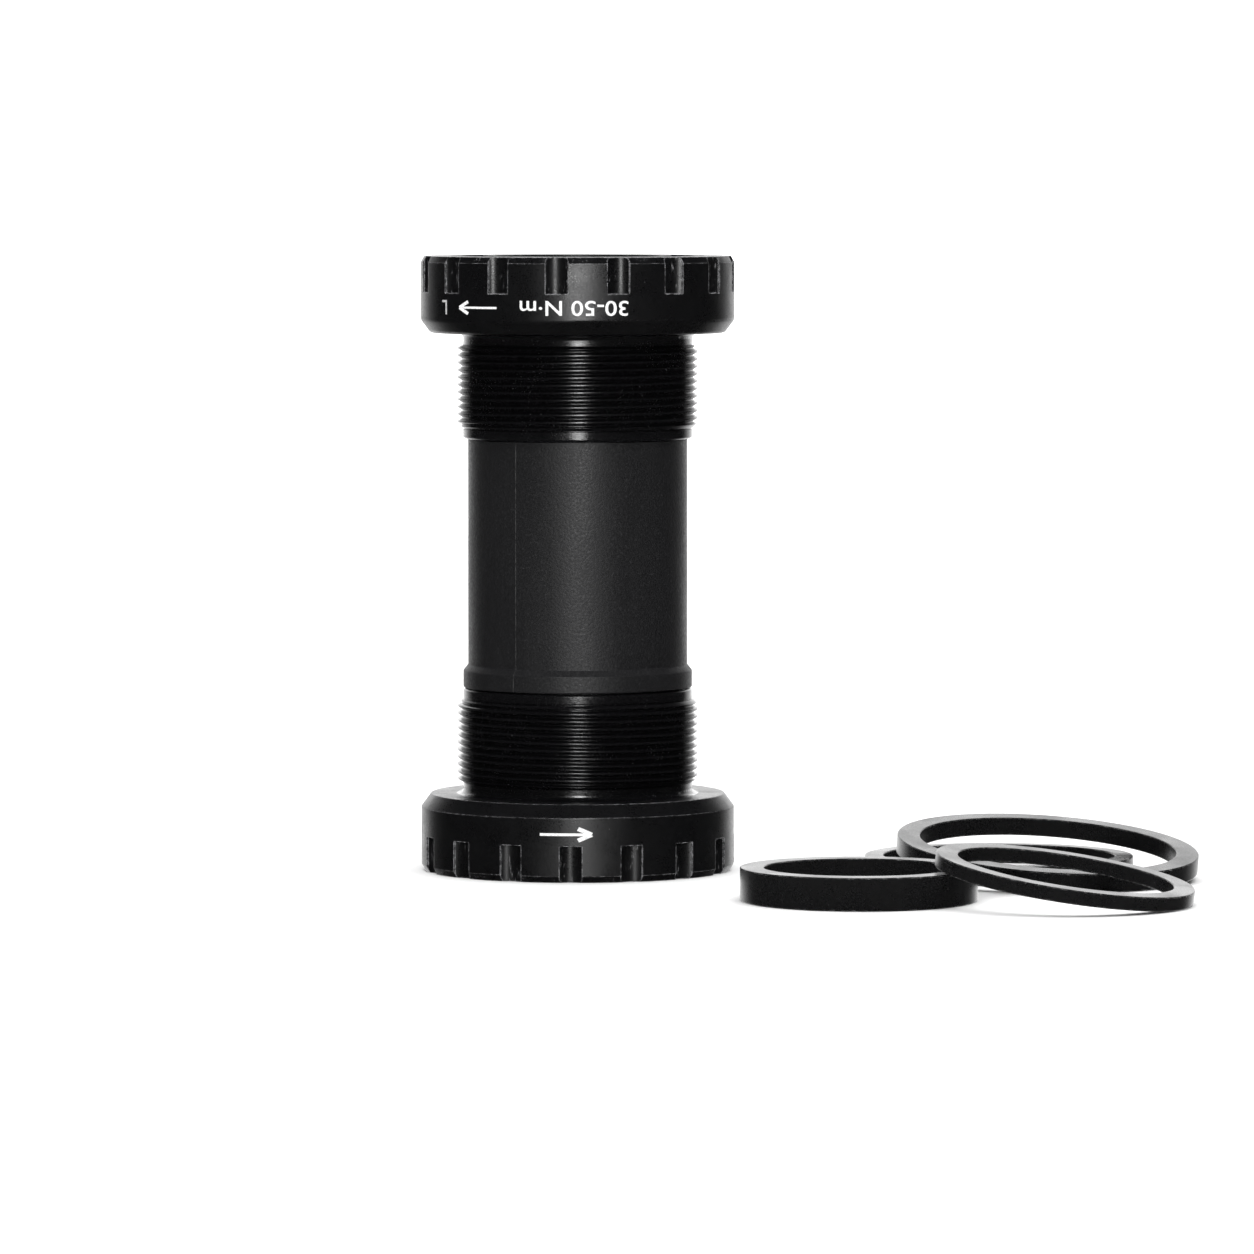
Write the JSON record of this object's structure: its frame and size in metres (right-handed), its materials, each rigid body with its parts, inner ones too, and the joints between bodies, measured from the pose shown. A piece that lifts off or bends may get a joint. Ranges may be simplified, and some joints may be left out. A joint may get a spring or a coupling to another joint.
{
  "type": "bottom bracket",
  "caption": "Threaded external bottom bracket stood on end: two notched cups with sealed bearings, a plastic sleeve between them, and loose spacer rings beside it.",
  "frame": {"origin": "on the spindle axis, in the outboard plane of the right cup, which is the plane that the unit stands on", "axes": "+Z runs along the spindle axis from the right cup to the left cup; the loose spacer rings lie on the +X side"},
  "size_m": [0.1114, 0.0943, 0.0888],
  "materials": {
    "anodised_cup": "gloss-satin black anodised, with bright chips on the notch edges",
    "anodised_spacer": "satin black anodised",
    "sleeve_plastic": "matte moulded texture",
    "cover_plastic": "satin moulded",
    "bearing_steel": "ground",
    "ball_steel": "polished",
    "cage_nylon": "moulded nylon",
    "seal_rubber": "soft matte"
  },
  "bodies": {
    "right_side": {"right_cup": "anodised_cup", "right_bearing_outer_race": "bearing_steel", "right_outboard_seal": "seal_rubber", "right_inboard_seal": "seal_rubber", "right_cover_seal": "seal_rubber"},
    "right_spinner": {"right_bearing_inner_race": "bearing_steel", "right_dust_cover": "cover_plastic"},
    "right_ball_set": {"right_bearing_balls": "ball_steel", "right_bearing_cage": "cage_nylon"},
    "sleeve_unit": {"sleeve": "sleeve_plastic", "right_sleeve_o_ring": "seal_rubber", "left_sleeve_o_ring": "seal_rubber"},
    "left_side": {"left_cup": "anodised_cup", "left_bearing_outer_race": "bearing_steel", "left_outboard_seal": "seal_rubber", "left_inboard_seal": "seal_rubber", "left_cover_seal": "seal_rubber"},
    "left_spinner": {"left_bearing_inner_race": "bearing_steel", "left_dust_cover": "cover_plastic"},
    "left_ball_set": {"left_bearing_balls": "ball_steel", "left_bearing_cage": "cage_nylon"},
    "tall_spacer": {"spacer_tall": "anodised_spacer"},
    "flat_spacer": {"spacer_flat": "anodised_spacer"},
    "wide_spacer": {"spacer_wide": "anodised_spacer"},
    "slim_spacer": {"spacer_slim": "anodised_spacer"}
  },
  "joints": [
    {"name": "right_spindle_turn", "type": "hinge", "parent": "right_side", "child": "right_spinner", "pos_m": [0, 0, 0.0051], "axis": [0, 0, 1], "continuous": true},
    {"name": "right_ball_turn", "type": "hinge", "parent": "right_side", "child": "right_ball_set", "pos_m": [0, 0, 0.0051], "axis": [0, 0, 1], "continuous": true},
    {"name": "sleeve_pull", "type": "slide", "parent": "right_side", "child": "sleeve_unit", "axis": [0, 0, 1], "range_m": [0, 0.012]},
    {"name": "left_cup_pull", "type": "slide", "parent": "sleeve_unit", "child": "left_side", "axis": [0, 0, 1], "range_m": [0, 0.012]},
    {"name": "left_spindle_turn", "type": "hinge", "parent": "left_side", "child": "left_spinner", "pos_m": [0, 0, 0.0837], "axis": [0, 0, 1], "continuous": true},
    {"name": "left_ball_turn", "type": "hinge", "parent": "left_side", "child": "left_ball_set", "pos_m": [0, 0, 0.0837], "axis": [0, 0, 1], "continuous": true},
    {"name": "tall_spacer_away", "type": "slide", "parent": "right_side", "child": "tall_spacer", "axis": [-1, 0, 0], "range_m": [0, 0.02]},
    {"name": "flat_spacer_lift", "type": "slide", "parent": "right_side", "child": "flat_spacer", "axis": [0, 0, 1], "range_m": [0, 0.015]},
    {"name": "wide_spacer_lift", "type": "slide", "parent": "flat_spacer", "child": "wide_spacer", "axis": [0, 0, 1], "range_m": [0, 0.015]},
    {"name": "slim_spacer_lift", "type": "slide", "parent": "wide_spacer", "child": "slim_spacer", "axis": [0, 0, 1], "range_m": [0, 0.015]}
  ],
  "couplings": [
    {"joint": "right_ball_turn", "follows": "right_spindle_turn", "ratio": 0.44355},
    {"joint": "left_ball_turn", "follows": "left_spindle_turn", "ratio": 0.44355}
  ]
}
